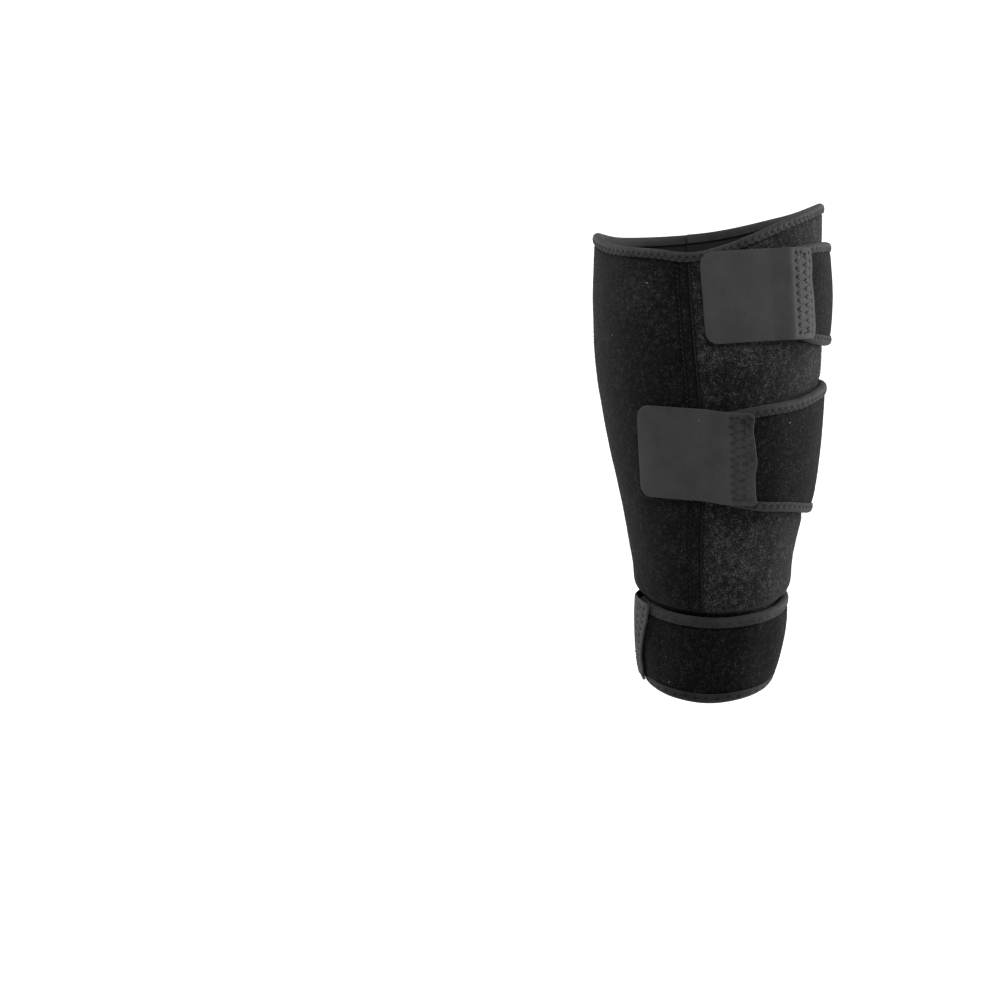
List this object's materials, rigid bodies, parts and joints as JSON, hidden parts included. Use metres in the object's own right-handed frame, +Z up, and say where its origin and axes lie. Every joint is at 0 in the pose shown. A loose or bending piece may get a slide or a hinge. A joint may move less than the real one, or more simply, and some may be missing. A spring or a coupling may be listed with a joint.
{
  "type": "calf brace",
  "caption": "Neoprene calf wrap lapped at the shin, closed by three bound straps with hook tabs, shaped as worn on a right lower leg.",
  "frame": {"origin": "centre of the leg at the fullest calf, inside the wrap", "axes": "+Z up the leg, -Y towards the back of the leg, +X towards the outer side of a right leg"},
  "size_m": [0.1321, 0.1339, 0.2771],
  "materials": {
    "loop_fabric": "black loop pile laminated on neoprene foam",
    "binding_tape": "dark grey knitted elastic tape, folded over and stitched",
    "hook_tape": "dark grey hook tape back, fine ribbed weave"
  },
  "bodies": {
    "root": {"medial_panel": "loop_fabric", "lateral_panel": "loop_fabric", "back_seam": "loop_fabric", "upper_strap": "loop_fabric", "middle_strap": "loop_fabric", "lower_strap": "loop_fabric", "top_binding": "binding_tape", "bottom_binding": "binding_tape", "flap_binding_high": "binding_tape", "flap_binding_middle": "binding_tape", "flap_binding_low": "binding_tape", "upper_strap_top_binding": "binding_tape", "upper_strap_bottom_binding": "binding_tape", "middle_strap_top_binding": "binding_tape", "middle_strap_bottom_binding": "binding_tape", "lower_strap_top_binding": "binding_tape", "lower_strap_bottom_binding": "binding_tape", "upper_hook_tab": "hook_tape", "middle_hook_tab": "hook_tape", "lower_hook_tab": "hook_tape"}
  },
  "joints": []
}
